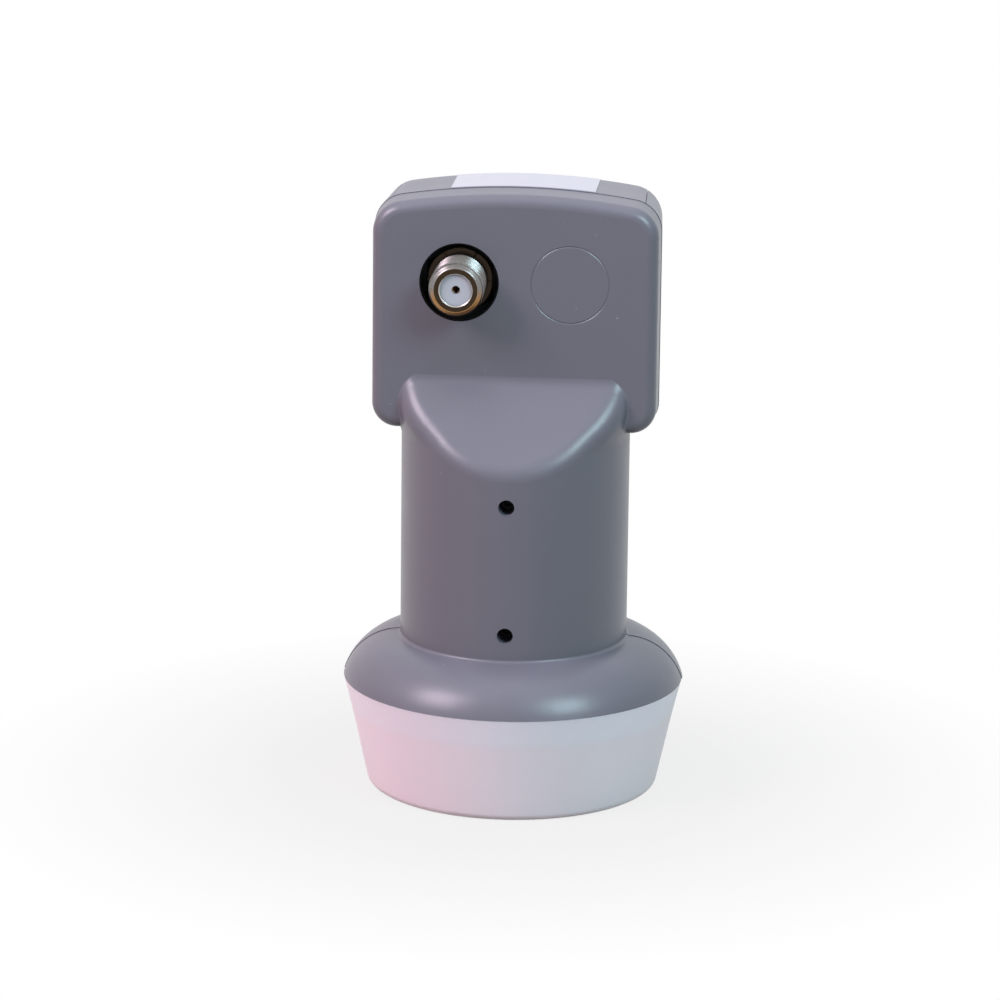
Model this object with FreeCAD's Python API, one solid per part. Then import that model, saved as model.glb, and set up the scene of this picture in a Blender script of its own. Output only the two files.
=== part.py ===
import FreeCAD, Part
import functools
import math
import os

# A satellite LNB with one output, standing on the face of its feed horn cap.
# Millimetres. Z runs up the neck's axis from the cap's face, X runs across the head.
# The connector faces -Y.
V = FreeCAD.Vector

# Driving dimensions: heights from the cap's face up
cap_height = 19.4
flange_rise = 7.6
neck_len = 38.0
head_height = 41.9

# Driving dimensions: neck, flange and shells
neck_r = 20.0
wall = 2.0
seam_r = 29.95
flange_arc_r = 10.6
flange_fillet_r = 0.5
junction_r = 0.4
parting_gap = 0.12
rear_step = 0.1
lap_depth = 1.1
lap_height = 1.2
lap_gap = 0.08

# Driving dimensions: head
head_half_w = 24.9
head_front = 7.4
head_rear = 18.2
crown_r = 124.0
top_corner_r = 5.5
low_corner_r = 4.4
draft_deg = 1.5
rear_side_deg = 2.8
front_edge_r = 2.0
rear_edge_r = 4.4
least_r = 0.3

# Driving dimensions: slanted facets where the neck runs into the head
facet_drop = 4.3
facet_rise = 9.2
facet_blend_r = 3.0
facet_edge_r = 4.0
rear_facet_deg = 45.0
face_sink = 0.03

# Driving dimensions: collar above the clamp's land, flared out where the neck enters the head
land_gap = 1.8
flare_rise = 1.2
collar_rise = 6.5
collar_out = 1.3

# Driving dimensions: end cover, its ledge and the label
cover_half_w = 22.0
cover_taper = 0.6
cover_drop = 12.9
cover_gap = 0.1
ledge_t = 1.2
ledge_w = 1.5
label_left_x = -11.8
label_right_x = 13.3
label_front_y = 0.35
label_rear_gap = 2.0
label_t = 0.12

# Driving dimensions: ports and neck holes
port_x = 9.6
port_drop = 15.5
port_gap = 0.32
port_seal_w = 1.7
port_lip_t = 0.3
port_lip_sink = 0.25
score_w = 0.3
score_depth = 0.1
thin_w = 0.9
thin_depth = 1.0
low_hole_rise = 4.8
high_hole_drop = 10.3
neck_hole_gap = 0.15
neck_boss_wall = 1.8

# Driving dimensions: feed horn cap
cap_crease_drop = 5.8
cap_crease_in = 1.45
cap_face_in = 3.0
cap_edge_r = 1.5
cap_floor_t = 1.6
cap_wall = 1.7
cap_rim_t = 2.85
cap_shoulder_w = 1.2
gate_r = 3.0
gate_depth = 0.3

# Driving dimensions: feed horn and its disc, which the cap and the shells hold
horn_gap = 2.0
choke_side_gap = 1.95
choke_wall = 1.4
horn_floor_t = 1.8
disc_drop = 5.6
disc_t = 3.9
disc_gap = 0.2
horn_rib_t = 1.4
horn_ribs = 6
seal_section_r = 0.9
skirt_t = 1.5
skirt_gap = 0.1

# Driving dimensions: waveguide tube
bore_r = 8.75
tube_wall = 1.9
bore_drop = 3.0
end_wall = 2.0
cradle_t = 1.2
low_cradle_rise = 9.0
high_cradle_drop = 3.4
touch_gap = 0.1
pad_wall = 1.75
pad_reach = 2.9

# Driving dimensions: tray, lid and board
tray_side_gap = 2.1
tray_top_gap = 4.1
tray_low_gap = 1.5
tray_wall = 1.6
tray_corner_r = 2.0
tray_front_wall = 1.8
tray_step = 1.2
tongue_len = 24.0
tongue_gap = 0.65
tongue_wall = 1.4
bed_wall = 1.15
lid_t = 1.2
lid_gap = 2.0
lid_boss_r = 2.2
partition_t = 1.4
post_r = 2.4
shell_pad_r = 2.0
shell_pad_inset = 6.6
shell_pad_drop = 11.0
board_t = 0.8
board_gap = 0.35
board_screw_inset = 7.7
board_screw_rise = 6.6
board_screw_drop = 4.4

# Driving dimensions: what stands on the board, as width, thickness and height
transistor_size = (2.0, 0.9, 1.3)
chip_size = (4.0, 0.85, 4.0)
crystal_size = (3.2, 0.8, 2.5)
regulator_size = (4.5, 1.5, 2.5)
capacitor_size = (1.6, 0.8, 0.8)
capacitor_pitch = 3.4
coil_r = 1.5
coil_t = 1.6
absorber_size = (26.0, 0.8, 8.0)

# Places on the board, as x and height above the tray's low edge
chip_place = (0.0, 16.0)
crystal_place = (6.2, 16.0)
regulator_place = (-14.2, 14.5)
coil_place = (-9.6, 16.0)
capacitor_rows = ((-6.0, 7.3, 4), (3.2, 20.7, 4), (-15.4, 10.9, 2))
absorber_place = (0.0, 22.5)

# Places on the tongue, as x and distance below the waveguide's short end
transistor_places = ((2.6, 6.0), (-3.2, 15.0), (0.0, -1.6))

# Driving dimensions: screws
small_screw_r = 1.0
small_head_r = 1.8
small_head_t = 1.2
head_clearance = 0.3
screw_bite = 4.0
recess_r = 0.8
recess_depth = 0.6
set_screw_r = 1.25
set_screw_len = 6.0
set_socket_r = 0.75
set_socket_depth = 1.2

# Driving dimensions: probes and isolation rod, placed down from the waveguide's short end
probe_r = 0.45
probe_solder = 0.6
bead_r = 1.8
high_probe_drop = 6.0
high_probe_len = 8.1
rod_drop = 12.0
rod_r = 0.75
rod_seat = 1.15
low_probe_drop = 18.0
low_probe_in = 2.75
low_probe_reach = 4.6
low_probe_bend_r = 1.2

# Driving dimensions: F connector
thread_r = 4.7625
tip_reach = 6.8
tip_chamfer = 0.9
hex_flats = 11.4
hex_t = 2.0
hex_chamfer = 0.5
shank_r = 4.3
shank_boss_wall = 2.1
shank_boss_t = 3.4
insulator_r = 2.75
insulator_recess = 0.45
entry_r = 0.75
entry_depth = 1.2
contact_r = 1.05
contact_bore_r = 0.6
contact_bore_depth = 8.0
contact_slit = 0.3
contact_len = 10.1
contact_pin_r = 0.5

# Heights that follow
seam_z = cap_height
flange_top_z = seam_z + flange_rise
head_low_z = flange_top_z + neck_len
head_top_z = head_low_z + head_height
facet_low_z = head_low_z - facet_drop
facet_high_z = head_low_z + facet_rise
land_top_z = head_low_z - land_gap
flare_top_z = land_top_z + flare_rise
collar_z = flare_top_z + collar_rise
column_low_z = seam_z + wall / 2
column_top_z = facet_high_z + 2 * facet_blend_r
cover_low_z = head_top_z - cover_drop
port_z = head_top_z - port_drop
low_hole_z = flange_top_z + low_hole_rise
high_hole_z = head_low_z - high_hole_drop
horn_mouth_z = cap_floor_t + horn_gap
disc_low_z = seam_z - disc_drop
disc_high_z = disc_low_z + disc_t
horn_floor_z = disc_low_z - horn_floor_t
seal_z = (disc_low_z + disc_high_z) / 2
bore_top_z = head_low_z - bore_drop
tube_top_z = bore_top_z + end_wall
tongue_low_z = bore_top_z - tongue_len
high_probe_z = bore_top_z - high_probe_drop
rod_z = bore_top_z - rod_drop
low_probe_z = bore_top_z - low_probe_drop
low_cradle_z = flange_top_z + low_cradle_rise
high_cradle_z = bore_top_z - high_cradle_drop
tray_low_z = head_low_z + wall + tray_low_gap
tray_high_z = head_top_z - wall - tray_top_gap

# Radii and widths that follow
neck_inner_r = neck_r - wall
flare_angle = 2 * math.atan(collar_out / (flare_rise + collar_rise))
flare_arc_r = flare_rise / math.sin(flare_angle)
collar_arc_r = collar_rise / math.sin(flare_angle)
flare_out = flare_arc_r * (1 - math.cos(flare_angle))
tube_r = bore_r + tube_wall
cap_seat_r = seam_r - cap_rim_t
cap_shoulder_r = cap_seat_r - cap_shoulder_w
cap_crease_r = seam_r - cap_crease_in
cap_face_r = cap_crease_r - cap_face_in
disc_r = cap_seat_r - disc_gap
groove_r = cap_seat_r - 2 * seal_section_r
cap_slope = (cap_crease_r - cap_face_r) / (cap_height - cap_crease_drop)
cap_mouth_r = cap_face_r + cap_slope * horn_mouth_z - cap_wall
choke_outer_r = cap_mouth_r - choke_side_gap
choke_gap = (choke_outer_r - tube_r) / 2 - choke_wall
choke_1_r = tube_r + choke_gap
choke_2_r = choke_outer_r - choke_wall
hex_corner_r = hex_flats / math.sqrt(3)
port_r = hex_corner_r + port_gap
shank_boss_r = shank_r + shank_boss_wall
neck_hole_r = set_screw_r + neck_hole_gap
neck_boss_r = neck_hole_r + neck_boss_wall
pad_r = set_screw_r + pad_wall
tray_half_w = head_half_w - wall - tray_side_gap
low_probe_x = low_probe_in - bore_r

# Depths that follow, from front to rear
tip_y = -head_front - tip_reach
insulator_y = tip_y + insulator_recess
contact_y = insulator_y + entry_depth
head_inner_y = wall - head_front
tray_front_y = head_inner_y + hex_t
tray_floor_y = tray_front_y + tray_front_wall
shank_end_y = tray_floor_y + shank_boss_t
root_y = tray_floor_y - tray_front_wall / 2
pad_face_y = -(tube_r + pad_reach)
set_screw_tip_y = -(bore_r + bed_wall)
board_y = bore_r + bed_wall
board_top_y = board_y + board_t
lid_top_y = head_rear - wall - lid_gap
rim_y = lid_top_y - lid_t
pin_end_y = board_top_y + probe_solder
tongue_half_w = math.sqrt(neck_inner_r**2 - lid_top_y**2) - tongue_gap


def box(x0, x1, y0, y1, z0, z1):
    """Block between two corners."""
    return Part.makeBox(x1 - x0, y1 - y0, z1 - z0, V(x0, y0, z0))


def rod_y(radius, x, z, y0, y1):
    """Cylinder along Y at (x, z)."""
    return Part.makeCylinder(radius, y1 - y0, V(x, y0, z), V(0, 1, 0))


def ring_z(inner, outer, z0, z1):
    """Flat ring about the neck's axis."""
    disc = Part.makeCylinder(outer, z1 - z0, V(0, 0, z0))
    return disc.cut(Part.makeCylinder(inner, z1 - z0, V(0, 0, z0)))


def join(*shapes):
    """One shape from several, without the seams between them."""
    whole = shapes[0]
    for shape in shapes[1:]:
        whole = whole.fuse(shape)
    return whole.removeSplitter()


def arc(centre, start, end):
    """Short arc about centre from start to end."""
    middle = (start - centre) + (end - centre)
    middle.normalize()
    middle.multiply((start - centre).Length)
    return Part.Arc(start, centre + middle, end).toShape()


def line(start, end):
    return Part.makeLine(start, end)


def turned(edges, centre=V(0, 0, 0), axis=V(0, 0, 1)):
    """Solid of revolution of a closed outline."""
    return Part.Face(Part.Wire(edges)).revolve(centre, axis, 360)


def turned_z(points):
    """Solid turned about the neck's axis from (radius, z) points."""
    corners = [V(r, 0, z) for r, z in points]
    return turned([line(a, b) for a, b in zip(corners, corners[1:] + corners[:1])])


def turned_y(points, x, z):
    """Solid turned about an axis along Y at (x, z) from (radius, y) points."""
    corners = [V(x + r, y, z) for r, y in points]
    edges = [line(a, b) for a, b in zip(corners, corners[1:] + corners[:1])]
    return turned(edges, V(x, 0, z), V(0, 1, 0))


def flat_edges(shape, y):
    """Edges that lie at depth y."""
    return [e for e in shape.Edges if e.BoundBox.YLength < 0.001 and abs(e.BoundBox.YMin - y) < 0.001]


def flip(point):
    return V(-point.x, point.y, point.z)


def head_outline(y, inset):
    """Head's outline at depth y, drawn in by the mould draft and by the inset."""
    side_deg = draft_deg if y < 0 else rear_side_deg
    pull = abs(y) * math.tan(math.radians(draft_deg)) + inset
    half = head_half_w - abs(y) * math.tan(math.radians(side_deg)) - inset
    low = head_low_z + pull
    crown = crown_r - pull
    low_r = max(low_corner_r - inset, least_r)
    top_r = max(top_corner_r - inset, least_r)
    crown_centre = V(0, y, head_top_z - crown_r)
    top_x = half - top_r
    top_centre = V(top_x, y, crown_centre.z + math.sqrt((crown - top_r) ** 2 - top_x**2))
    low_centre = V(half - low_r, y, low + low_r)
    low_start = V(half - low_r, y, low)
    low_end = V(half, y, low + low_r)
    top_start = V(half, y, top_centre.z)
    top_end = crown_centre + (top_centre - crown_centre) * (crown / (crown - top_r))
    return Part.Wire(
        [
            line(flip(low_start), low_start),
            arc(low_centre, low_start, low_end),
            line(low_end, top_start),
            arc(top_centre, top_start, top_end),
            arc(crown_centre, top_end, flip(top_end)),
            arc(flip(top_centre), flip(top_end), flip(top_start)),
            line(flip(top_start), flip(low_end)),
            arc(flip(low_centre), flip(low_end), flip(low_start)),
        ]
    )


def head_form(inset):
    """Head block, with draft to front and rear of the parting plane."""
    front_y = -(head_front - inset)
    rear_y = head_rear - inset
    middle = head_outline(0, inset)
    front = Part.makeLoft([head_outline(front_y, inset), middle], True, True)
    rear = Part.makeLoft([middle, head_outline(rear_y, inset)], True, True)
    front = front.makeFillet(max(front_edge_r - inset, least_r), flat_edges(front, front_y))
    rear = rear.makeFillet(max(rear_edge_r - inset, least_r), flat_edges(rear, rear_y))
    return front.fuse(rear)


def column_form(inset):
    """Neck column, cut by the facets that lead into the head's front and rear faces."""
    radius = neck_r - inset
    beyond = radius + wall
    slope = V(0, neck_r - head_front, facet_high_z - facet_low_z).normalize()
    outward = V(0, -slope.z, slope.y)
    on_facet = V(0, -neck_r, facet_low_z) - outward * inset
    face_y = -(head_front - inset) + face_sink
    facet_low = on_facet + slope * ((-beyond - on_facet.y) / slope.y)
    corner = on_facet + slope * ((face_y - on_facet.y) / slope.y)
    blend_r = facet_blend_r + inset
    tangent = blend_r * math.tan((math.pi / 2 - math.atan2(slope.z, slope.y)) / 2)
    blend_start = corner - slope * tangent
    blend_end = corner + V(0, 0, tangent)
    blend_centre = blend_end - V(0, blend_r, 0)

    rear_angle = math.radians(rear_facet_deg)
    rear_y = head_rear - inset - face_sink
    rear_high = head_low_z + rear_edge_r - inset * math.tan(rear_angle / 2)
    rear_low = rear_high - (beyond - rear_y) / math.tan(rear_angle)
    points = [
        V(0, -beyond, column_low_z),
        facet_low,
        blend_start,
        blend_end,
        V(0, face_y, column_top_z),
        V(0, rear_y, column_top_z),
        V(0, rear_y, rear_high),
        V(0, beyond, rear_low),
        V(0, beyond, column_low_z),
    ]
    edges = [line(a, b) for a, b in zip(points, points[1:] + points[:1])]
    edges[2] = arc(blend_centre, blend_start, blend_end)
    side = Part.Face(Part.Wire(edges))
    side.translate(V(-beyond, 0, 0))
    slab = side.extrude(V(2 * beyond, 0, 0))
    return slab.common(collared_column(radius))


def collared_column(radius):
    """Round column: straight along the clamp's land, then flared out to the collar."""
    low = V(0, 0, column_low_z)
    foot = V(radius, 0, column_low_z)
    land = V(radius, 0, land_top_z)
    flare = V(radius + flare_out, 0, flare_top_z)
    collar = V(radius + collar_out, 0, collar_z)
    rim = V(collar.x, 0, column_top_z)
    high = V(0, 0, column_top_z)
    edges = [
        line(low, foot),
        line(foot, land),
        arc(land + V(flare_arc_r, 0, 0), land, flare),
        arc(collar - V(collar_arc_r, 0, 0), flare, collar),
        line(collar, rim),
        line(rim, high),
        line(high, low),
    ]
    return turned(edges)


def flange_form(inset, low_z):
    """Flange shoulder: a quarter-round from the neck out to the seam."""
    start = V(neck_r, 0, flange_top_z)
    end = V(seam_r, 0, seam_z)
    chord = end - start
    across = V(chord.z, 0, -chord.x).normalize()
    reach = math.sqrt(flange_arc_r**2 - chord.Length**2 / 4)
    centre = (start + end) * 0.5 + across * reach
    radius = flange_arc_r - inset
    inner_r = min(neck_r, neck_r - inset)
    high = V(inner_r, 0, centre.z + math.sqrt(radius**2 - (inner_r - centre.x) ** 2))
    low = V(centre.x + math.sqrt(radius**2 - (seam_z - centre.z) ** 2), 0, seam_z)
    axis_high = V(0, 0, high.z)
    axis_low = V(0, 0, low_z)
    foot = V(low.x, 0, low_z)
    edges = [line(axis_low, axis_high), line(axis_high, high), arc(centre, high, low)]
    if low_z < seam_z:
        edges.append(line(low, foot))
    edges.append(line(foot, axis_low))
    return turned(edges)


@functools.lru_cache
def body_form(inset, low_z=seam_z):
    """Whole form of head, neck and flange with sharp junctions, drawn in by the inset."""
    return join(head_form(inset), column_form(inset), flange_form(inset, low_z))


def middle_of(edge):
    return edge.valueAt((edge.FirstParameter + edge.LastParameter) / 2)


def column_radius(z):
    """Column's outer radius at height z: land, flare or collar."""
    if z < flare_top_z:
        rise = max(z - land_top_z, 0)
        return neck_r + flare_arc_r - math.sqrt(flare_arc_r**2 - rise**2)
    left = max(collar_z - z, 0)
    return neck_r + collar_out - collar_arc_r + math.sqrt(collar_arc_r**2 - left**2)


def on_column(point):
    return abs(math.hypot(point.x, point.y) - column_radius(point.z)) < 0.01


def is_junction(form, edge):
    """True where the column meets the head from outside, above the neck."""
    if edge.BoundBox.ZMin < head_low_z - least_r:
        return False
    column_faces = []
    for face in form.ancestorsOfType(edge, Part.Face):
        u0, u1, v0, v1 = face.ParameterRange
        if on_column(face.valueAt((u0 + u1) / 2, (v0 + v1) / 2)):
            column_faces.append(face)
    return len(column_faces) == 1


def outer_form(proud=0.0):
    """Outer form with its edges blended; head and flange can stand proud by a step."""
    column = column_form(0)
    rims = [e for e in column.Edges if on_column(middle_of(e)) and e.BoundBox.DiagonalLength > least_r]
    low = facet_low_z - least_r
    high = column_top_z - facet_blend_r / 2
    rims = [e for e in rims if low < e.BoundBox.ZMin and e.BoundBox.ZMax < high]
    column = column.makeFillet(facet_edge_r, [e for e in rims if middle_of(e).y < 0])
    form = join(head_form(-proud), column, flange_form(-proud, seam_z))
    form = form.makeFillet(junction_r, [e for e in form.Edges if is_junction(form, e)])
    level = [e for e in form.Edges if e.BoundBox.ZLength < 0.001]
    foot = [e for e in level if abs(e.BoundBox.ZMin - flange_top_z) < least_r]
    return form.makeFillet(flange_fillet_r, foot)


def in_front():
    """Block of space in front of the parting line."""
    return box(-seam_r, seam_r, -seam_r - wall, -parting_gap / 2, 0, head_top_z + wall)


def behind():
    """Block of space behind the parting line."""
    beyond = seam_r + wall
    return box(-beyond, beyond, parting_gap / 2, beyond, 0, head_top_z + wall)


def lap_slab(height):
    return box(-seam_r, seam_r, -wall, height, 0, head_top_z + wall)


def cover_space(grow):
    """Space that the end cover takes out of the rear shell, larger all round by grow."""
    front = cover_half_w + grow
    rear = front - cover_taper
    far_y = head_rear + wall
    low = cover_low_z - grow
    corners = [V(-front, 0, low), V(front, 0, low), V(rear, far_y, low), V(-rear, far_y, low)]
    outline = Part.Wire([line(a, b) for a, b in zip(corners, corners[1:] + corners[:1])])
    return Part.Face(outline).extrude(V(0, 0, head_top_z + wall - low))


def half_ring(inner, outer, z0, z1, half):
    return ring_z(inner, outer, z0, z1).common(half)


def shell_ribs(half, cradle_heights):
    """Skirt over the casting's disc and cradle ribs round the tube, in one half."""
    skirt_r = cap_seat_r - skirt_gap
    ribs = [half_ring(skirt_r - skirt_t, skirt_r, disc_high_z, flange_top_z, half)]
    for z in cradle_heights:
        ribs.append(half_ring(tube_r + touch_gap, neck_r, z - cradle_t / 2, z + cradle_t / 2, half))
    return ribs


def score():
    """V-shaped ring cut into the face where the second port is left closed."""
    bottom = (port_r - score_w / 2, score_depth - head_front)
    return turned_y([(port_r - score_w, -head_front), (port_r, -head_front), bottom], port_x, port_z)


def thinning():
    """Ring-shaped groove behind the score, inside the shell."""
    depths = (head_inner_y - thin_depth, head_inner_y)
    return rod_y(port_r, port_x, port_z, *depths).cut(rod_y(port_r - thin_w, port_x, port_z, *depths))


def front_shell(outer, inner):
    half = in_front()
    skin = outer.cut(inner).common(half)
    lip = body_form(lap_depth).cut(inner).common(lap_slab(lap_height))
    ribs = shell_ribs(half, (low_cradle_z, high_cradle_z))
    for z in (low_hole_z, high_hole_z):
        ribs.append(rod_y(neck_boss_r, 0, z, -neck_r, pad_face_y - touch_gap))
    core = body_form(wall / 2, disc_high_z)
    shell = join(skin, lip, *[rib.common(core) for rib in ribs])
    shell = shell.cut(rod_y(port_r, -port_x, port_z, -head_front, 0))
    shell = shell.cut(score()).cut(thinning())
    for z in (low_hole_z, high_hole_z):
        shell = shell.cut(rod_y(neck_hole_r, 0, z, -neck_r, 0))
    return shell


def lid_pad_places():
    """Where the rear shell presses on the tray's lid."""
    x = tray_half_w - shell_pad_inset
    heights = (tray_low_z + shell_pad_inset, tray_high_z - shell_pad_drop)
    return [(side * x, z) for side in (-1, 1) for z in heights]


def rebate():
    """Step along the parting line that clears the front shell's lip."""
    return body_form(lap_depth - lap_gap).common(lap_slab(lap_height + lap_gap))


def rear_shell(outer, inner):
    half = behind()
    skin = outer.cut(inner).common(half)
    ribs = shell_ribs(half, (low_cradle_z,))
    for x, z in lid_pad_places():
        ribs.append(rod_y(shell_pad_r, x, z, lid_top_y, head_rear))
    core = body_form(wall / 2, disc_high_z)
    shell = join(skin, *[rib.common(core) for rib in ribs]).cut(cover_space(cover_gap))
    band = cover_space(ledge_w).cut(cover_space(-ledge_w))
    ledge = inner.cut(body_form(wall + ledge_t)).common(band).common(half)
    for x, z in lid_screw_places():
        ledge = ledge.cut(rod_y(small_head_r + head_clearance, x, z, lid_top_y, head_rear - wall))
    return join(shell, ledge).cut(rebate())


def end_cover(outer, inner):
    return outer.cut(inner).common(cover_space(0)).common(behind()).cut(rebate())


def label(outer):
    """Thin sticker that follows the end cover's crown."""
    rear_y = head_rear - label_rear_gap
    area = box(label_left_x, label_right_x, label_front_y, rear_y, cover_low_z, head_top_z + wall)
    return body_form(-rear_step - label_t).cut(outer).common(area)


def feedhorn_cap():
    crease_z = seam_z - cap_crease_drop
    floor_r = cap_face_r + cap_slope * cap_floor_t - cap_wall
    meet_z = (cap_shoulder_r + cap_wall - cap_face_r) / cap_slope
    profile = turned_z(
        [
            (0, 0),
            (cap_face_r, 0),
            (cap_crease_r, crease_z),
            (seam_r, seam_z),
            (cap_seat_r, seam_z),
            (cap_seat_r, disc_low_z),
            (cap_shoulder_r, disc_low_z),
            (cap_shoulder_r, meet_z),
            (floor_r, cap_floor_t),
            (0, cap_floor_t),
        ]
    )
    rim = [e for e in profile.Edges if e.BoundBox.ZMax < 0.001 and e.BoundBox.XLength > cap_face_r]
    cap = profile.makeFillet(cap_edge_r, rim)
    return cap.cut(Part.makeCylinder(gate_r, gate_depth))


def horn_seal_ring():
    centre_r = cap_seat_r - seal_section_r
    return Part.makeTorus(centre_r, seal_section_r, V(0, 0, seal_z))


def tray_block(front_y, rear_y, draw_in=0.0):
    """Wide part of the tray with rounded corners, drawn in all round."""
    half = tray_half_w - draw_in
    block = box(-half, half, front_y, rear_y, tray_low_z + draw_in, tray_high_z - draw_in)
    upright = [e for e in block.Edges if e.BoundBox.YLength > (rear_y - front_y) / 2]
    return block.makeFillet(max(tray_corner_r - draw_in, least_r), upright)


def lid_screw_places():
    """Four corners of the tray and one at the tongue's end."""
    inset = tray_wall + lid_boss_r / 2
    x = tray_half_w - inset
    corners = [(side * x, z) for side in (-1, 1) for z in (tray_low_z + inset, tray_high_z - inset)]
    return corners + [(0, tongue_low_z + lid_boss_r)]


def board_screw_places():
    x = tray_half_w - board_screw_inset
    low_z = tray_low_z + board_screw_rise
    return [(-x, low_z), (x, low_z), (0, tray_high_z - board_screw_drop)]


def lid_bite(z):
    """Depth of a lid screw: the one over the tube is short."""
    return rim_y - board_y if z < tube_top_z else screw_bite


def cast_horn():
    """Feed horn with two choke rings, its disc with the seal's groove, and the closed tube."""
    outline = [(0, horn_mouth_z), (tube_r, horn_mouth_z), (tube_r, horn_floor_z)]
    for ring_r in (choke_1_r, choke_2_r):
        outline += [(ring_r, horn_floor_z), (ring_r, horn_mouth_z), (ring_r + choke_wall, horn_mouth_z)]
        outline.append((ring_r + choke_wall, horn_floor_z))
    outline[-1] = (choke_outer_r, disc_low_z)
    outline += [
        (disc_r, disc_low_z),
        (disc_r, seal_z - seal_section_r),
        (groove_r, seal_z - seal_section_r),
        (groove_r, seal_z + seal_section_r),
        (disc_r, seal_z + seal_section_r),
        (disc_r, disc_high_z),
        (choke_2_r, disc_high_z),
        (choke_2_r, disc_low_z),
        (tube_r, disc_low_z),
        (tube_r, tube_top_z),
        (0, tube_top_z),
    ]
    ribs = []
    half_t = horn_rib_t / 2
    for i in range(horn_ribs):
        rib = box(bore_r, choke_2_r + choke_wall / 2, -half_t, half_t, disc_low_z, disc_high_z)
        rib.rotate(V(0, 0, 0), V(0, 0, 1), 360 / horn_ribs * i)
        ribs.append(rib)
    return join(turned_z(outline), *ribs)


def cast_tray():
    """Blocks round the tube and under the board, before they are hollowed."""
    channel_y = board_y - tray_front_wall
    half = tongue_half_w
    half_t = partition_t / 2
    return [
        box(-half, half, bore_r / 2, rim_y, tongue_low_z, tube_top_z),
        box(-half, half, channel_y, rim_y, bore_top_z, tray_low_z + tray_wall),
        box(-half_t, half_t, tray_front_y, board_y, bore_top_z + end_wall / 2, tray_low_z + tray_wall / 2),
        tray_block(tray_front_y, rim_y),
    ]


def tray_hollows():
    """Room under the board, room above it, and the tongue's channel."""
    half = tongue_half_w - tongue_wall
    top_z = tray_low_z + 2 * tray_wall
    return [
        tray_block(tray_floor_y, board_y, tray_wall + tray_step),
        tray_block(board_y, rim_y, tray_wall),
        box(-half, half, board_y, rim_y, tongue_low_z + tongue_wall, top_z),
    ]


def tray_bosses():
    """Partition, posts and screw bosses that stand in the tray."""
    *corners, tongue_end = lid_screw_places()
    half_t = partition_t / 2
    inside = [box(-half_t, half_t, root_y, board_y, tray_low_z, tray_high_z - tray_wall)]
    inside += [rod_y(post_r, x, z, root_y, board_y) for x, z in board_screw_places()]
    inside += [rod_y(lid_boss_r, x, z, root_y, rim_y) for x, z in corners]
    inside.append(rod_y(shank_boss_r, -port_x, port_z, root_y, shank_end_y))
    block = tray_block(tray_front_y, rim_y)
    return [shape.common(block) for shape in inside] + [rod_y(lid_boss_r, *tongue_end, bore_r, rim_y)]


def cast_body():
    """Feed horn, waveguide tube and board tray, cast in one piece."""
    pads = [rod_y(pad_r, 0, z, pad_face_y, -bore_r) for z in (low_hole_z, high_hole_z)]
    body = join(cast_horn(), *cast_tray(), *pads)
    for hollow in tray_hollows():
        body = body.cut(hollow)
    body = join(body, *tray_bosses())
    body = body.cut(Part.makeCylinder(bore_r, bore_top_z - horn_mouth_z, V(0, 0, horn_mouth_z)))
    body = body.cut(rod_y(shank_r, -port_x, port_z, tray_front_y, shank_end_y))
    for x, z in lid_screw_places():
        body = body.cut(rod_y(small_screw_r, x, z, rim_y - lid_bite(z), rim_y))
    for x, z in board_screw_places():
        body = body.cut(rod_y(small_screw_r, x, z, board_y - screw_bite, board_y))
    for z in (low_hole_z, high_hole_z):
        body = body.cut(rod_y(set_screw_r, 0, z, pad_face_y, set_screw_tip_y))
    for x, z in probe_places():
        body = body.cut(rod_y(bead_r, x, z, 0, board_y))
    return body.cut(isolation_rod())


def tray_lid():
    """Lid with two shields that stand on the board's tongue."""
    tongue_top_z = tray_low_z + tray_corner_r
    lid = join(
        tray_block(rim_y, lid_top_y),
        box(-tongue_half_w, tongue_half_w, rim_y, lid_top_y, tongue_low_z, tongue_top_z),
    )
    half = tongue_half_w - tongue_wall - touch_gap
    half_t = partition_t / 2
    for z in (rod_z, tray_low_z):
        lid = join(lid, box(-half, half, board_top_y, rim_y, z - half_t, z + half_t))
    for x, z in lid_screw_places():
        lid = lid.cut(rod_y(small_screw_r, x, z, rim_y, lid_top_y))
    return lid


def small_screw(x, z, seat_y, length):
    """Pan-head screw driven towards -Y, with a round recess in its head."""
    top_y = seat_y + small_head_t
    shank = rod_y(small_screw_r, x, z, seat_y - length, seat_y)
    head = rod_y(small_head_r, x, z, seat_y, top_y)
    head = head.makeFillet(small_head_t / 2, flat_edges(head, top_y))
    return join(shank, head).cut(rod_y(recess_r, x, z, top_y - recess_depth, top_y))


def lid_screws():
    screws = [small_screw(x, z, lid_top_y, lid_t + lid_bite(z)) for x, z in lid_screw_places()]
    return Part.makeCompound(screws)


def board_screws():
    screws = [small_screw(x, z, board_top_y, board_t + screw_bite) for x, z in board_screw_places()]
    return Part.makeCompound(screws)


def neck_screws():
    """Headless screws, deep in the neck's two holes."""
    face_y = set_screw_tip_y - set_screw_len
    screws = []
    for z in (low_hole_z, high_hole_z):
        screw = rod_y(set_screw_r, 0, z, face_y, set_screw_tip_y)
        screws.append(screw.cut(rod_y(set_socket_r, 0, z, face_y, face_y + set_socket_depth)))
    return Part.makeCompound(screws)


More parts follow.
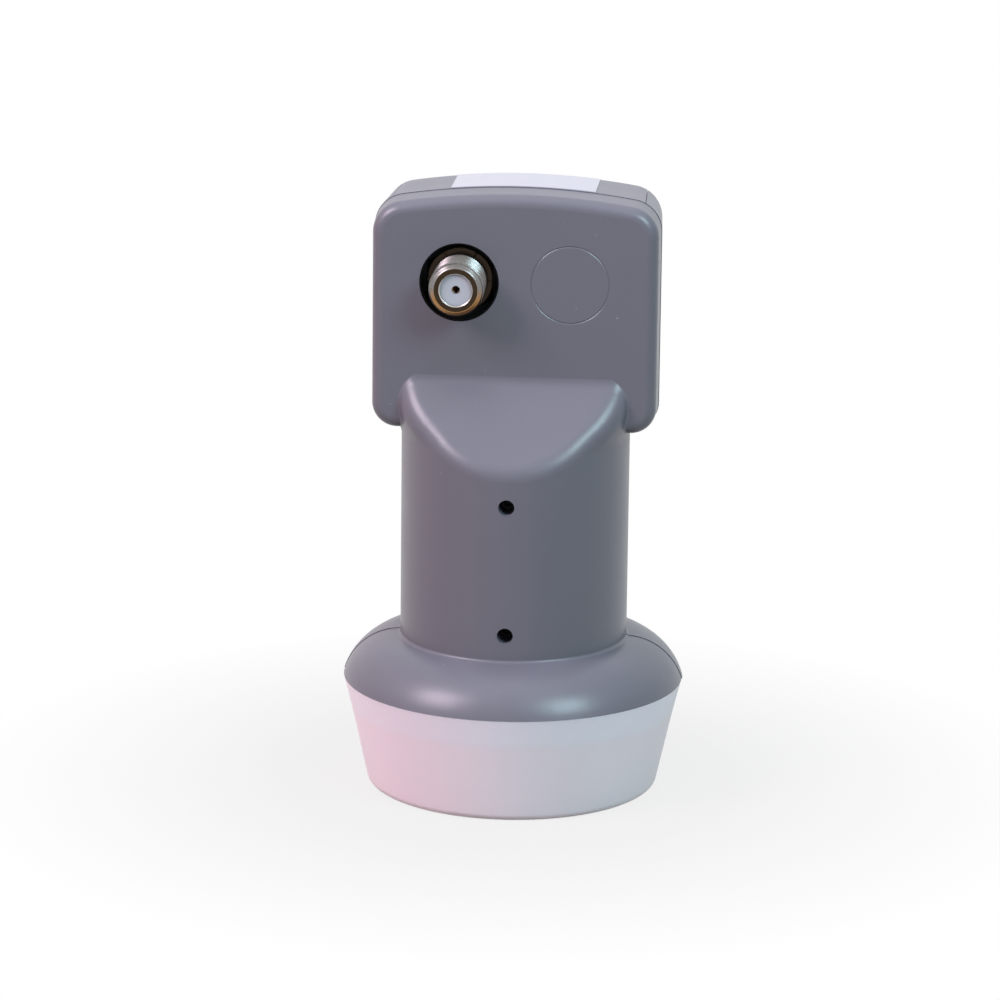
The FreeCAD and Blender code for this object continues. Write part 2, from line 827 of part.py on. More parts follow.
def main_board():
    """Board with a wide part in the tray and a tongue over the waveguide."""
    wide = tray_block(board_y, board_top_y, tray_wall + board_gap)
    half = tongue_half_w - tongue_wall - board_gap
    low_z = tongue_low_z + 2 * lid_boss_r + board_gap
    top_z = tray_low_z + 2 * tray_wall + board_gap
    board = join(wide, box(-half, half, board_y, board_top_y, low_z, top_z))
    holes = [(lid_boss_r + board_gap, x, z) for x, z in lid_screw_places()]
    holes += [(small_screw_r, x, z) for x, z in board_screw_places()]
    holes += [(probe_r, x, z) for x, z in probe_places()]
    holes.append((contact_pin_r, -port_x, port_z))
    for radius, x, z in holes:
        board = board.cut(rod_y(radius, x, z, board_y, board_top_y))
    return board


def probe_places():
    """Straight probe near the short end and bent probe nearer the horn."""
    return [(0, high_probe_z), (low_probe_x, low_probe_z)]


def vertical_probe():
    return rod_y(probe_r, 0, high_probe_z, pin_end_y - high_probe_len, pin_end_y)


def horizontal_probe():
    """Pin that drops into the waveguide and bends across it."""
    bend = low_probe_bend_r
    top = V(low_probe_x, pin_end_y, low_probe_z)
    start = V(low_probe_x, bend, low_probe_z)
    centre = V(low_probe_x + bend, bend, low_probe_z)
    end = V(low_probe_x + bend, 0, low_probe_z)
    tip = V(low_probe_x + low_probe_reach, 0, low_probe_z)
    path = Part.Wire([line(top, start), arc(centre, start, end), line(end, tip)])
    section = Part.Wire(Part.makeCircle(probe_r, top, V(0, -1, 0)))
    return path.makePipeShell([section], True, False)


def probe_beads():
    """Insulating beads round the probes where they pass the casting."""
    beads = []
    for x, z in probe_places():
        inner_y = math.sqrt(bore_r**2 - (abs(x) + bead_r) ** 2)
        bead = rod_y(bead_r, x, z, inner_y, board_y)
        beads.append(bead.cut(rod_y(probe_r, x, z, inner_y, board_y)))
    return Part.makeCompound(beads)


def isolation_rod():
    reach = bore_r + rod_seat
    return Part.makeCylinder(rod_r, 2 * reach, V(-reach, 0, rod_z), V(1, 0, 0))


def block_at(size, x, z, y):
    """Block centred at (x, z) that rises from depth y."""
    w, t, h = size
    return box(x - w / 2, x + w / 2, y, y + t, z - h / 2, z + h / 2)


def on_board(size, place):
    x, rise = place
    return block_at(size, x, tray_low_z + rise, board_top_y)


def amplifier_transistors():
    blocks = [block_at(transistor_size, x, bore_top_z - drop, board_top_y) for x, drop in transistor_places]
    return Part.makeCompound(blocks)


def board_capacitors():
    blocks = []
    for x, rise, count in capacitor_rows:
        blocks += [on_board(capacitor_size, (x + capacitor_pitch * i, rise)) for i in range(count)]
    return Part.makeCompound(blocks)


def supply_coil():
    x, rise = coil_place
    return rod_y(coil_r, x, tray_low_z + rise, board_top_y, board_top_y + coil_t)


def absorber_pad():
    x, rise = absorber_place
    return block_at(absorber_size, x, tray_low_z + rise, rim_y - absorber_size[1])


def hexagon_block():
    """Six-sided block behind the shell's hole, with flats to the sides."""
    corners = []
    for i in range(6):
        angle = math.pi / 2 + math.pi / 3 * i
        x = hex_corner_r * math.cos(angle) - port_x
        corners.append(V(x, head_inner_y, port_z + hex_corner_r * math.sin(angle)))
    outline = Part.Wire([line(a, b) for a, b in zip(corners, corners[1:] + corners[:1])])
    return Part.Face(outline).extrude(V(0, hex_t, 0))


def hexagon():
    """Hexagon flange with rounded front corners."""
    rounding = [
        (insulator_r, head_inner_y),
        (hex_corner_r - 2 * hex_chamfer, head_inner_y),
        (hex_corner_r, head_inner_y + hex_chamfer),
        (hex_corner_r, tray_front_y),
        (insulator_r, tray_front_y),
    ]
    return hexagon_block().common(turned_y(rounding, -port_x, port_z))


def f_connector_shell():
    """Plated body: threaded barrel, hexagon flange and shank."""
    outline = [
        (insulator_r, tip_y),
        (thread_r - tip_chamfer, tip_y),
        (thread_r, tip_y + tip_chamfer),
        (thread_r, tray_front_y),
        (shank_r, tray_front_y),
        (shank_r, shank_end_y),
        (insulator_r, shank_end_y),
    ]
    return join(turned_y(outline, -port_x, port_z), hexagon())


def f_connector_dielectric():
    outline = [
        (entry_r, insulator_y),
        (insulator_r, insulator_y),
        (insulator_r, shank_end_y),
        (contact_pin_r, shank_end_y),
        (contact_pin_r, contact_y + contact_len),
        (contact_r, contact_y + contact_len),
        (contact_r, contact_y),
        (entry_r, contact_y),
    ]
    return turned_y(outline, -port_x, port_z)


def f_connector_contact():
    """Spring tube for the cable's conductor, with a pin that runs back to the board."""
    bore_end_y = contact_y + contact_bore_depth
    tube_end_y = contact_y + contact_len
    half = contact_slit / 2
    tube = rod_y(contact_r, -port_x, port_z, contact_y, tube_end_y)
    tube = tube.cut(rod_y(contact_bore_r, -port_x, port_z, contact_y, bore_end_y))
    slit = box(-port_x - half, half - port_x, contact_y, bore_end_y, port_z - contact_r, port_z + contact_r)
    return join(tube.cut(slit), rod_y(contact_pin_r, -port_x, port_z, tube_end_y, pin_end_y))


def connector_seal():
    """Rubber ring that grips the hexagon behind the front shell, with a lip that lines the shell's hole."""
    lip_y = port_lip_sink - head_front
    ring = rod_y(port_r + port_seal_w, -port_x, port_z, head_inner_y, tray_front_y).cut(hexagon_block())
    lip = rod_y(port_r, -port_x, port_z, lip_y, head_inner_y)
    return join(ring, lip.cut(rod_y(port_r - port_lip_t, -port_x, port_z, lip_y, head_inner_y)))


def main():
    os.makedirs("parts", exist_ok=True)
    outer = outer_form()
    rear_outer = outer_form(rear_step)
    inner = body_form(wall, seam_z - wall)
    parts = {
        "front_shell": front_shell(outer, inner),
        "rear_shell": rear_shell(rear_outer, inner),
        "end_cover": end_cover(rear_outer, inner),
        "label": label(rear_outer),
        "feedhorn_cap": feedhorn_cap(),
        "horn_seal_ring": horn_seal_ring(),
        "cast_body": cast_body(),
        "tray_lid": tray_lid(),
        "lid_screws": lid_screws(),
        "absorber_pad": absorber_pad(),
        "main_board": main_board(),
        "board_screws": board_screws(),
        "vertical_probe": vertical_probe(),
        "horizontal_probe": horizontal_probe(),
        "probe_beads": probe_beads(),
        "isolation_rod": isolation_rod(),
        "amplifier_transistors": amplifier_transistors(),
        "converter_chip": on_board(chip_size, chip_place),
        "reference_crystal": on_board(crystal_size, crystal_place),
        "voltage_regulator": on_board(regulator_size, regulator_place),
        "supply_coil": supply_coil(),
        "board_capacitors": board_capacitors(),
        "neck_screws": neck_screws(),
        "f_connector_shell": f_connector_shell(),
        "f_connector_dielectric": f_connector_dielectric(),
        "f_connector_contact": f_connector_contact(),
        "connector_seal": connector_seal(),
    }
    for name, shape in parts.items():
        print(name, len(shape.Solids), round(shape.Volume, 1), "" if shape.isValid() else "NOT VALID")
        shape.exportStep("parts/" + name + ".step")


if __name__ == "__main__":
    main()
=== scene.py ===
import math

import bpy
from mathutils import Matrix, Vector


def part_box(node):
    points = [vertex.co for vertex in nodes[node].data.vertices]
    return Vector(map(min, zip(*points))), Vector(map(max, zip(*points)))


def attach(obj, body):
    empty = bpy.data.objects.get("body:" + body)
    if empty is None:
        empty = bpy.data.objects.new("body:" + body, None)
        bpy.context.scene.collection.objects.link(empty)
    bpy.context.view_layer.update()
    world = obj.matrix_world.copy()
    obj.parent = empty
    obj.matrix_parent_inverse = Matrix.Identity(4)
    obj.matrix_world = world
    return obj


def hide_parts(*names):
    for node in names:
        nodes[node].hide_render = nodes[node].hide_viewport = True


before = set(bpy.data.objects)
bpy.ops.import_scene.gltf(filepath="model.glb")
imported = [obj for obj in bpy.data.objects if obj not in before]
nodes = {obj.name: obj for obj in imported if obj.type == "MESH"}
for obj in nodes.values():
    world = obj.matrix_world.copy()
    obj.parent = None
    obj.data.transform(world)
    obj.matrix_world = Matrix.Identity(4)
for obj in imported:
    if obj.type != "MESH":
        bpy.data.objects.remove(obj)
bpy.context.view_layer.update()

MM = 0.001
BODY = "root"

# Connector's own sizes, in millimetres
THREAD_R = 4.7625
PITCH = 0.794
THREAD_DEPTH = 0.46
THREAD_START = 0.54
THREAD_END = 0.35
TIP_CHAMFER = 0.9
INNER_EDGE = 0.2
OUTER_EDGE = 0.1
EDGE_BULGE = 0.02
RIM_W = 0.3
RIM_FADE = 0.05
HEX_T = 2.0
HEX_CHAMFER = 0.5
SHANK_R = 4.3

# Connector's place and other sizes from the CAD nodes, in millimetres
body_low, body_high = (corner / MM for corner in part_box("f_connector_shell"))
insulator_low, insulator_high = (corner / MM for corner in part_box("f_connector_dielectric"))
seal_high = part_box("connector_seal")[1] / MM
PORT_X = (body_low.x + body_high.x) / 2
PORT_Z = (body_low.z + body_high.z) / 2
TIP_Y = body_low.y
SHANK_END_Y = body_high.y
HEX_BACK_Y = seal_high.y
HEX_FACE_Y = HEX_BACK_Y - HEX_T
HEX_FLATS = body_high.x - body_low.x
INSULATOR_R = (insulator_high.x - insulator_low.x) / 2

# Connector's mesh
AROUND = 192
RINGS_PER_PITCH = 16
CORNER_RINGS = 5
SHARP_DEG = 38

# Tones painted on the connector's metal as reflection, shade and sheen, and the heights about its axis
# between which the chamfer's and rim's painted low tone turns to bright
TONE = "tone"
BRIGHT = (0.25, 0.237, 0.235)
WARM = (0.40, 0.21, 0.082)
PAINTED_SHEEN = (0.60, 0.58, 0.57)
FLAT = (0.055, 0.036, 0.022)
DARK = (0.034, 0.024, 0.018)
PAINTED_REFLECTION_BELOW = -1.6
BRIGHT_ABOVE = 0.6

# Cap's crease as a share of the cap's height, and the band in metres over which the painted warm shade
# below the crease fades in
CREASE_SHARE = 0.74
CREASE_BAND = 0.0022

# Floor in metres: its half width, and the rings between which its glow rises to white in the camera's eye
FLOOR_HALF = 4.0
NEAR_GLOW = 0.82
NEAR_R = 0.04
FAR_R = 0.10

# Point in metres at which the lamps aim
LAMP_AIM = Vector((0, 0, 0.05))


# Node helpers

def new_material(name):
    """Material with a Principled shader; returns it with its tree and shader."""
    material = bpy.data.materials.new(name)
    material.use_nodes = True
    return material, material.node_tree, material.node_tree.nodes["Principled BSDF"]


def add(tree, kind, inputs=None, **settings):
    """Shader node with its settings and input values."""
    node = tree.nodes.new(kind)
    for key, value in settings.items():
        setattr(node, key, value)
    for key, value in (inputs or {}).items():
        node.inputs[key].default_value = value
    return node


def noise(tree, scale, detail=3.0, roughness=0.5, stretch=None):
    """Noise over object coordinates; scale counts features per metre."""
    place = add(tree, "ShaderNodeTexCoord").outputs["Object"]
    if stretch:
        mapping = add(tree, "ShaderNodeMapping", {"Scale": stretch})
        tree.links.new(place, mapping.inputs["Vector"])
        place = mapping.outputs["Vector"]
    texture = add(tree, "ShaderNodeTexNoise", {"Scale": scale, "Detail": detail, "Roughness": roughness})
    tree.links.new(place, texture.inputs["Vector"])
    return texture.outputs["Fac"]


def ramp(tree, factor, stops):
    """Colour ramp; stops are (position, colour)."""
    node = add(tree, "ShaderNodeValToRGB")
    band = node.color_ramp
    while len(band.elements) < len(stops):
        band.elements.new(0.5)
    for element, (position, colour) in zip(band.elements, stops):
        element.position = position
        element.color = (*colour, 1)
    tree.links.new(factor, node.inputs["Fac"])
    return node.outputs["Color"]


def span(tree, factor, low, high, from_low=0.3, from_high=0.7):
    """Maps a factor's range to another one."""
    node = add(
        tree,
        "ShaderNodeMapRange",
        {"From Min": from_low, "From Max": from_high, "To Min": low, "To Max": high},
    )
    tree.links.new(factor, node.inputs["Value"])
    return node.outputs["Result"]


def bump(tree, height, strength, distance, normal=None):
    """Normal tilted by a height, on top of another bump where one is given."""
    node = add(tree, "ShaderNodeBump", {"Strength": strength, "Distance": distance})
    tree.links.new(height, node.inputs["Height"])
    if normal:
        tree.links.new(normal, node.inputs["Normal"])
    return node.outputs["Normal"]


def shade(colour, factor):
    """Colour made darker or brighter."""
    return tuple(min(1.0, c * factor) for c in colour)


# Materials

def moulded_plastic(name, colour, roughness, grain=2600.0, grain_depth=0.000012, subsurface=0.0):
    """Moulded plastic with a fine spark-eroded grain, slight waviness and faint dust."""
    material, tree, shader = new_material(name)
    cloud = noise(tree, 55.0, 4.0)
    tint = ramp(tree, cloud, [(0.2, shade(colour, 0.97)), (0.8, shade(colour, 1.03))])
    dust = noise(tree, 900.0, 2.0, 0.6)
    specks = ramp(tree, dust, [(0.765, (0, 0, 0)), (0.80, (1, 1, 1))])
    mix = add(tree, "ShaderNodeMix", data_type="RGBA")
    tree.links.new(specks, mix.inputs["Factor"])
    tree.links.new(tint, mix.inputs["A"])
    mix.inputs["B"].default_value = (*shade(colour, 1.9), 1)
    tree.links.new(mix.outputs["Result"], shader.inputs["Base Color"])
    fine = noise(tree, grain, 2.0)
    waves = noise(tree, 140.0, 2.0)
    gloss = span(tree, waves, roughness - 0.03, roughness + 0.03, 0.15, 0.85)
    tree.links.new(gloss, shader.inputs["Roughness"])
    normal = bump(tree, fine, 0.55, grain_depth)
    normal = bump(tree, waves, 0.08, 0.00005, normal)
    tree.links.new(normal, shader.inputs["Normal"])
    shader.inputs["IOR"].default_value = 1.5
    shader.inputs["Specular IOR Level"].default_value = 0.5
    if subsurface:
        shader.inputs["Subsurface Weight"].default_value = subsurface
        shader.inputs["Subsurface Radius"].default_value = (1.0, 0.92, 0.88)
        shader.inputs["Subsurface Scale"].default_value = 0.0015
    return material


def paint_warm_shade_below_crease(material):
    """Painted warm shade: a warmer, slightly darker tint under the crease that runs round the cap below its
    rim, standing in for the shade and warm bounce light on the lower band.
    """
    tree = material.node_tree
    shader = tree.nodes["Principled BSDF"]
    own = shader.inputs["Base Color"].links[0].from_socket
    place = add(tree, "ShaderNodeTexCoord").outputs["Object"]
    height = add(tree, "ShaderNodeSeparateXYZ")
    tree.links.new(place, height.inputs[0])
    crease_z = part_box("feedhorn_cap")[1].z * CREASE_SHARE
    low_z, high_z = crease_z - CREASE_BAND / 2, crease_z + CREASE_BAND / 2
    # Painted shade and warm bounce below the crease, plain colour above it.
    tint = ramp(
        tree,
        span(tree, height.outputs["Z"], 0.0, 1.0, low_z, high_z),
        [(0.0, (1.0, 0.94, 0.91)), (1.0, (1.0, 1.0, 1.0))],
    )
    mix = add(tree, "ShaderNodeMix", data_type="RGBA", blend_type="MULTIPLY")
    mix.inputs["Factor"].default_value = 1.0
    tree.links.new(own, mix.inputs["A"])
    tree.links.new(tint, mix.inputs["B"])
    tree.links.new(mix.outputs["Result"], shader.inputs["Base Color"])


def metal(name, colour, roughness, mottling=0.12, scale=900.0, stretch=None, depth=0.000008):
    """Metal with mottled tone and small scratches."""
    material, tree, shader = new_material(name)
    cloud = noise(tree, scale, 5.0, 0.6, stretch)
    tint = ramp(tree, cloud, [(0.3, shade(colour, 1 - mottling)), (0.7, shade(colour, 1 + mottling))])
    tree.links.new(tint, shader.inputs["Base Color"])
    patches = noise(tree, scale * 0.45, 4.0)
    tree.links.new(span(tree, patches, roughness * 0.75, roughness * 1.4), shader.inputs["Roughness"])
    tree.links.new(bump(tree, cloud, 0.4, depth), shader.inputs["Normal"])
    shader.inputs["Metallic"].default_value = 1.0
    return material


def plain(name, colour, roughness, variation=0.08, scale=600.0, depth=0.00001, specular=0.5):
    """Non-metal with slight variation of tone and gloss."""
    material, tree, shader = new_material(name)
    cloud = noise(tree, scale, 4.0)
    tint = ramp(tree, cloud, [(0.3, shade(colour, 1 - variation)), (0.7, shade(colour, 1 + variation))])
    tree.links.new(tint, shader.inputs["Base Color"])
    tree.links.new(span(tree, cloud, roughness * 0.85, roughness * 1.15), shader.inputs["Roughness"])
    tree.links.new(bump(tree, cloud, 0.3, depth), shader.inputs["Normal"])
    shader.inputs["Specular IOR Level"].default_value = specular
    return material


shell_grey = moulded_plastic("shell_grey", (0.136, 0.132, 0.158), 0.34)
cap_white = moulded_plastic(
    "cap_white", (0.95, 0.90, 0.97), 0.40, grain=1500.0, grain_depth=0.000006, subsurface=0.25
)
paint_warm_shade_below_crease(cap_white)
bronze = metal("bronze", (0.36, 0.23, 0.12), 0.30)
cast_metal = metal("cast_metal", (0.42, 0.43, 0.44), 0.45, 0.10, 700.0, depth=0.00004)
sheet_metal = metal("sheet_metal", (0.56, 0.57, 0.58), 0.28, 0.06, 500.0, (1, 1, 12))
screw_steel = metal("screw_steel", (0.45, 0.45, 0.46), 0.30)
# Black screws for the neck; their black also serves as painted shade down in the neck's screw holes.
screw_black_as_hole_shade = metal("screw_black_as_hole_shade", (0.015, 0.015, 0.016), 0.45)
crystal_metal = metal("crystal_metal", (0.60, 0.60, 0.60), 0.20)
tinned_brass = metal("tinned_brass", (0.62, 0.52, 0.33), 0.26)
white_insulator = plain("white_insulator", (0.455, 0.465, 0.505), 0.38, 0.03)
bead_white = plain("bead_white", (0.78, 0.78, 0.76), 0.40, 0.04)
black_rubber = plain("black_rubber", (0.006, 0.006, 0.006), 0.75, 0.2, specular=0.06)
absorber_grey = plain("absorber_grey", (0.03, 0.03, 0.032), 0.80, 0.25, 1200.0, 0.00004)
chip_black = plain("chip_black", (0.02, 0.02, 0.022), 0.50, 0.15)
rod_black = plain("rod_black", (0.02, 0.02, 0.02), 0.55, 0.15)
coil_dark = plain("coil_dark", (0.03, 0.025, 0.022), 0.60, 0.2)
ceramic_tan = plain("ceramic_tan", (0.42, 0.30, 0.18), 0.40, 0.08)


def nickel_material():
    """Mottled nickel over the tones that the connector's strips carry, which hold painted reflections,
    painted shade and a painted sheen.
    """
    material, tree, shader = new_material("nickel")
    base = add(tree, "ShaderNodeVertexColor", layer_name=TONE).outputs["Color"]
    cloud = noise(tree, 900.0, 4.0, 0.6, (1, 4, 1))
    tone_with_painted_light = add(tree, "ShaderNodeMix", data_type="RGBA", blend_type="MULTIPLY")
    tone_with_painted_light.inputs["Factor"].default_value = 1.0
    tree.links.new(base, tone_with_painted_light.inputs["A"])
    tree.links.new(ramp(tree, cloud, [(0.3, (0.80, 0.79, 0.78)), (0.7, (1.0, 1.0, 1.0))]), tone_with_painted_light.inputs["B"])
    tree.links.new(tone_with_painted_light.outputs["Result"], shader.inputs["Base Color"])
    tree.links.new(span(tree, cloud, 0.25, 0.34), shader.inputs["Roughness"])
    shader.inputs["Metallic"].default_value = 1.0
    return material


def laminate_material():
    """Green board with paler tracks."""
    material, tree, shader = new_material("board_green")
    ground, track = (0.006, 0.07, 0.03), (0.02, 0.14, 0.06)
    tracks = noise(tree, 420.0, 0.0)
    green = ramp(tree, tracks, [(0.46, ground), (0.47, track), (0.53, track), (0.54, ground)])
    tree.links.new(green, shader.inputs["Base Color"])
    tree.links.new(bump(tree, tracks, 0.4, 0.00002), shader.inputs["Normal"])
    shader.inputs["Roughness"].default_value = 0.35
    return material


def label_material():
    """Blank white film with faint fibres."""
    material, tree, shader = new_material("label_film")
    fibres = noise(tree, 800.0, 4.0, 0.6, (1, 3, 1))
    white = ramp(tree, fibres, [(0.3, (0.44, 0.43, 0.47)), (0.7, (0.475, 0.465, 0.505))])
    tree.links.new(white, shader.inputs["Base Color"])
    tree.links.new(bump(tree, fibres, 0.2, 0.00001), shader.inputs["Normal"])
    shader.inputs["Roughness"].default_value = 0.32
    return material


# F connector with its thread

def thread_radius(y, angle):
    """Radius of the thread at a depth and an angle round its axis."""
    turn = 2 * math.pi * y / PITCH + angle
    groove = 0.5 - 0.5 * math.cos(turn)
    run_in = min(1.0, max(0.0, (y - TIP_Y - THREAD_START) / PITCH))
    run_out = min(1.0, max(0.0, (HEX_FACE_Y - THREAD_END - y) / PITCH))
    return THREAD_R - THREAD_DEPTH * groove * run_in * run_out


def hexagon_radius(angle, limit):
    """Radius of the hexagon's outline at an angle, with its corners cut back to a limit."""
    from_corner = (angle + math.pi / 2) % (math.pi / 3) - math.pi / 6
    return min(limit, HEX_FLATS / 2 / math.cos(from_corner))


def strip_tone(strip, z):
    """Tone of a strip at a height; the tip's chamfer carries a painted warm reflection below and its rim a
    painted dark reflection below, both turning to the bright metal above.
    """
    if strip in ("chamfer", "rim"):
        tone_with_painted_light = WARM if strip == "chamfer" else DARK
        # Painted reflection: warm or dark below, fading to the plain bright metal above.
        share = min(1.0, max(0.0, (z - PORT_Z - PAINTED_REFLECTION_BELOW) / (BRIGHT_ABOVE - PAINTED_REFLECTION_BELOW)))
        return tuple(w + (b - w) * share for w, b in zip(tone_with_painted_light, BRIGHT))
    # Bore and hexagon: darker copies of the metal painted as shade in their recesses; flat ring: a darker
    # copy painted as dark reflection; inner edge: a lighter copy painted as sheen; thread and shank: the
    # plain metal.
    return {
        "bore": DARK,
        "inner": PAINTED_SHEEN,
        "flat": FLAT,
        "thread": BRIGHT,
        "hexagon": DARK,
        "shank": BRIGHT,
    }[strip]


def connector_rings():
    """Rings from the bore's end over the tip to the shank's end, as (strip that follows, depth, radii)."""
    angles = [2 * math.pi * k / AROUND for k in range(AROUND)]
    tip_r = THREAD_R - TIP_CHAMFER
    rim_r = THREAD_R - RIM_W
    rim_y = TIP_Y + TIP_CHAMFER - RIM_W
    rings = [
        (strip, y, [radius] * AROUND)
        for strip, y, radius in (
            ("bore", SHANK_END_Y, INSULATOR_R),
            ("inner", TIP_Y + INNER_EDGE, INSULATOR_R),
            ("flat", TIP_Y, INSULATOR_R + INNER_EDGE),
            ("chamfer", TIP_Y, tip_r - OUTER_EDGE),
            ("chamfer", TIP_Y + OUTER_EDGE * 0.35, tip_r + EDGE_BULGE),
            ("chamfer", TIP_Y + OUTER_EDGE + EDGE_BULGE, tip_r + OUTER_EDGE),
            ("chamfer", rim_y - RIM_FADE, rim_r - RIM_FADE),
            ("rim", rim_y, rim_r),
        )
    ]

    start_y = TIP_Y + TIP_CHAMFER
    steps = int((HEX_FACE_Y - start_y) / PITCH * RINGS_PER_PITCH)
    for i in range(steps + 1):
        y = start_y + (HEX_FACE_Y - start_y) * i / steps
        strip = "thread" if i < steps else "hexagon"
        rings.append((strip, y, [thread_radius(y, angle) for angle in angles]))

    corner_r = HEX_FLATS / math.sqrt(3)
    for i in range(CORNER_RINGS + 1):
        share = i / CORNER_RINGS
        limit = corner_r - 2 * HEX_CHAMFER * (1 - share)
        y = HEX_FACE_Y + HEX_CHAMFER * share
        rings.append(("hexagon", y, [hexagon_radius(angle, limit) for angle in angles]))
    rings.append(("hexagon", HEX_BACK_Y, [hexagon_radius(angle, corner_r) for angle in angles]))
    rings.append(("shank", HEX_BACK_Y, [SHANK_R] * AROUND))
    rings.append(("shank", SHANK_END_Y, [SHANK_R] * AROUND))
    return rings


def connector_mesh():
    """Threaded barrel with its chamfered tip, hexagon flange and shank, as one closed mesh."""
    rings = connector_rings()
    vertices = []
    for _, y, radii in rings:
        for k, radius in enumerate(radii):
            angle = 2 * math.pi * k / AROUND
            x = PORT_X + radius * math.cos(angle)
            z = PORT_Z + radius * math.sin(angle)
            vertices.append((x * MM, y * MM, z * MM))
    faces = []
    tones = []
    for i, (strip, _, _) in enumerate(rings):
        here, following = i * AROUND, (i + 1) % len(rings) * AROUND
        for k in range(AROUND):
            beside = (k + 1) % AROUND
            corners = (here + k, here + beside, following + beside, following + k)
            faces.append(corners)
            tones += [strip_tone(strip, vertices[corner][2] / MM) for corner in corners]

    mesh = bpy.data.meshes.new("threaded_connector")
    mesh.from_pydata(vertices, [], faces)
    mesh.update()
    mesh.shade_smooth()
    layer = mesh.color_attributes.new(name=TONE, type="FLOAT_COLOR", domain="CORNER")
    for corner, tone in zip(layer.data, tones):
        corner.color = (*tone, 1)
    piece = bpy.data.objects.new("threaded_connector", mesh)
    bpy.context.scene.collection.objects.link(piece)
    mesh.set_sharp_from_angle(angle=math.radians(SHARP_DEG))
    return piece


connector = connector_mesh()
connector.data.materials.append(nickel_material())
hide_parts("f_connector_shell")
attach(connector, BODY)

looks = {
    "front_shell": shell_grey,
    "rear_shell": shell_grey,
    "end_cover": shell_grey,
    "label": label_material(),
    "feedhorn_cap": cap_white,
    "horn_seal_ring": black_rubber,
    "cast_body": cast_metal,
    "tray_lid": sheet_metal,
    "lid_screws": screw_steel,
    "absorber_pad": absorber_grey,
    "main_board": laminate_material(),
    "board_screws": screw_steel,
    "vertical_probe": tinned_brass,
    "horizontal_probe": tinned_brass,
    "probe_beads": bead_white,
    "isolation_rod": rod_black,
    "amplifier_transistors": chip_black,
    "converter_chip": chip_black,
    "reference_crystal": crystal_metal,
    "voltage_regulator": chip_black,
    "supply_coil": coil_dark,
    "board_capacitors": ceramic_tan,
    # Near-black neck screws, partly standing in as painted shade in their holes.
    "neck_screws": screw_black_as_hole_shade,
    "f_connector_dielectric": white_insulator,
    "f_connector_contact": bronze,
    "connector_seal": black_rubber,
}
for name, material in looks.items():
    data = nodes[name].data
    data.materials.clear()
    data.materials.append(material)


# Floor and background

def background_share(tree):
    """1 for camera, glossy and transmission rays, 0 for the rays that light the object."""
    path = add(tree, "ShaderNodeLightPath")
    total = path.outputs["Is Camera Ray"]
    for name in ("Is Glossy Ray", "Is Transmission Ray"):
        larger = add(tree, "ShaderNodeMath", operation="MAXIMUM")
        tree.links.new(total, larger.inputs[0])
        tree.links.new(path.outputs[name], larger.inputs[1])
        total = larger.outputs[0]
    return total


def floor_piece():
    """Pale floor that shows near white and keeps the object's shadow."""
    material, tree, shader = new_material("floor_white")
    grain = noise(tree, 30.0, 3.0)
    pale = ramp(tree, grain, [(0.3, (0.27, 0.24, 0.23)), (0.7, (0.29, 0.26, 0.25))])
    tree.links.new(pale, shader.inputs["Base Color"])
    shader.inputs["Roughness"].default_value = 0.9
    shader.inputs["Specular IOR Level"].default_value = 0.0
    glow = add(tree, "ShaderNodeEmission", {"Color": (1, 1, 1, 1), "Strength": 1.0})
    place = add(tree, "ShaderNodeTexCoord").outputs["Object"]
    distance = add(tree, "ShaderNodeVectorMath", operation="LENGTH")
    tree.links.new(place, distance.inputs[0])
    share = add(tree, "ShaderNodeMath", operation="MULTIPLY")
    tree.links.new(background_share(tree), share.inputs[0])
    tree.links.new(span(tree, distance.outputs["Value"], NEAR_GLOW, 1.0, NEAR_R, FAR_R), share.inputs[1])
    mix = add(tree, "ShaderNodeMixShader")
    tree.links.new(share.outputs[0], mix.inputs["Fac"])
    tree.links.new(shader.outputs["BSDF"], mix.inputs[1])
    tree.links.new(glow.outputs["Emission"], mix.inputs[2])
    tree.links.new(mix.outputs["Shader"], tree.nodes["Material Output"].inputs["Surface"])
    mesh = bpy.data.meshes.new("floor")
    turns = ((-1, -1), (1, -1), (1, 1), (-1, 1))
    corners = [(x * FLOOR_HALF, y * FLOOR_HALF, 0) for x, y in turns]
    mesh.from_pydata(corners, [], [(0, 1, 2, 3)])
    mesh.materials.append(material)
    piece = bpy.data.objects.new("floor", mesh)
    bpy.context.scene.collection.objects.link(piece)


def soft_world():
    """World that shows white and lights the part faintly."""
    world = bpy.data.worlds.new("studio")
    bpy.context.scene.world = world
    world.use_nodes = True
    tree = world.node_tree
    ambient = tree.nodes["Background"]
    ambient.inputs["Color"].default_value = (0.95, 0.97, 1.0, 1)
    ambient.inputs["Strength"].default_value = 0.03
    white = add(tree, "ShaderNodeBackground", {"Color": (1, 1, 1, 1), "Strength": 1.0})
    mix = add(tree, "ShaderNodeMixShader")
    tree.links.new(background_share(tree), mix.inputs["Fac"])
    tree.links.new(ambient.outputs["Background"], mix.inputs[1])
    tree.links.new(white.outputs["Background"], mix.inputs[2])
    tree.links.new(mix.outputs["Shader"], tree.nodes["World Output"].inputs["Surface"])


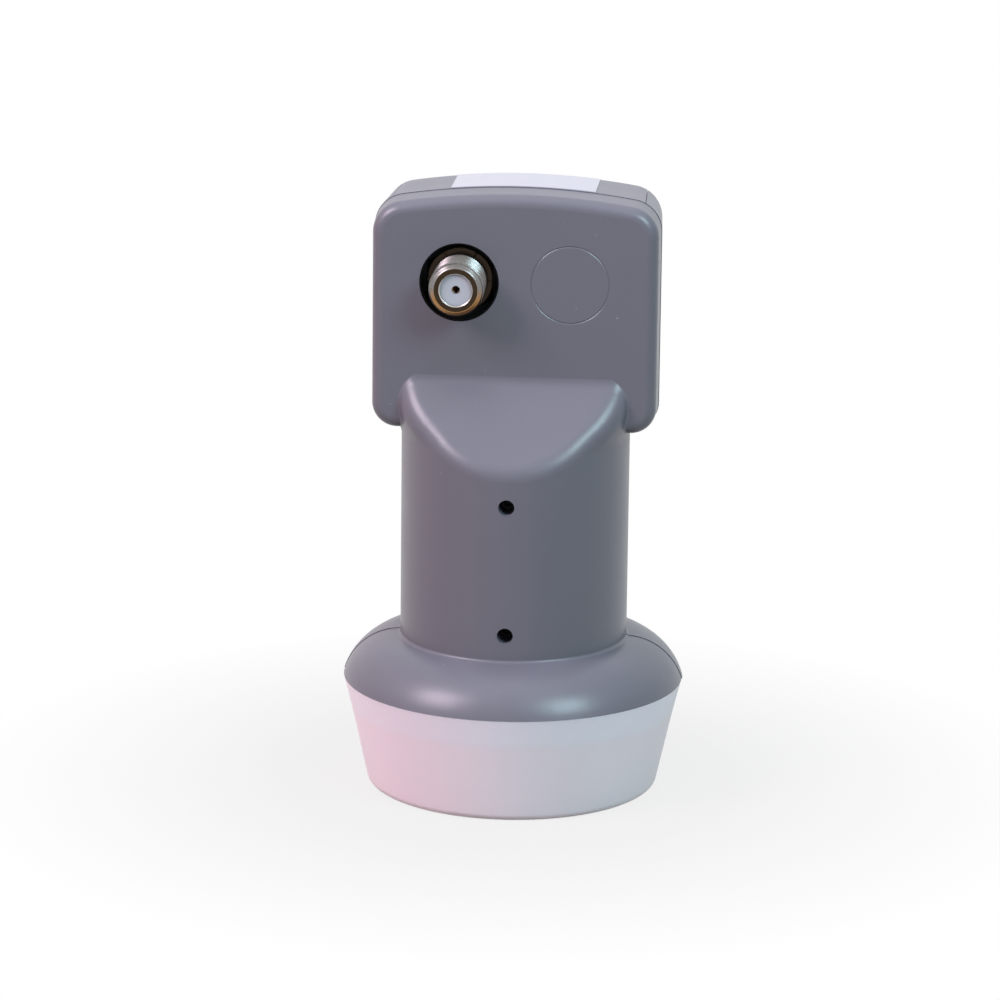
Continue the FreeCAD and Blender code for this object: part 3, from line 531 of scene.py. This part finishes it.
def softbox(name, azimuth, elevation, distance, size, power, colour, mirrored=True):
    """Square lamp aimed at the part; azimuth turns from the front towards +X."""
    a, e = math.radians(azimuth), math.radians(elevation)
    towards = Vector((math.sin(a) * math.cos(e), -math.cos(a) * math.cos(e), math.sin(e)))
    data = bpy.data.lights.new(name, "AREA")
    data.shape = "SQUARE"
    data.size = size
    data.energy = power
    data.color = colour
    lamp = bpy.data.objects.new(name, data)
    lamp.location = LAMP_AIM + towards * distance
    lamp.rotation_euler = (-towards).to_track_quat("-Z", "Y").to_euler()
    lamp.visible_glossy = mirrored
    bpy.context.scene.collection.objects.link(lamp)


floor_piece()
soft_world()
softbox(
    "lamp_left",
    azimuth=-57,
    elevation=40,
    distance=1.0,
    size=0.40,
    power=7.6,
    colour=(1.0, 0.84, 0.96),
)
softbox(
    "lamp_right",
    azimuth=46,
    elevation=37,
    distance=1.0,
    size=0.37,
    power=5.8,
    colour=(0.64, 0.93, 1.0),
)
softbox(
    "lamp_top",
    azimuth=0,
    elevation=84,
    distance=1.1,
    size=1.1,
    power=12.8,
    colour=(0.83, 0.90, 1.0),
    mirrored=False,
)
softbox(
    "lamp_blush",
    azimuth=-84,
    elevation=20,
    distance=1.0,
    size=0.5,
    power=1.6,
    colour=(1.0, 0.30, 0.34),
    mirrored=False,
)


# Camera, as fitted to the photo

def photo_camera():
    """Long lens at the photo's place and tilt."""
    data = bpy.data.cameras.new("camera")
    data.sensor_width = 36.0
    data.lens = 180.16
    data.clip_start = 0.05
    data.clip_end = 20.0
    camera = bpy.data.objects.new("camera", data)
    right = Vector((0.99671, 0.08025, 0.01118))
    up = Vector((-0.03085, 0.24836, 0.96818))
    back = Vector((0.07492, -0.96534, 0.25002))
    eye = Vector((63.30, -849.70, 271.03)) * MM
    camera.matrix_world = Matrix.Translation(eye) @ Matrix((right, up, back)).transposed().to_4x4()
    bpy.context.scene.collection.objects.link(camera)
    bpy.context.scene.camera = camera


photo_camera()
bpy.context.scene.view_settings.view_transform = "Standard"
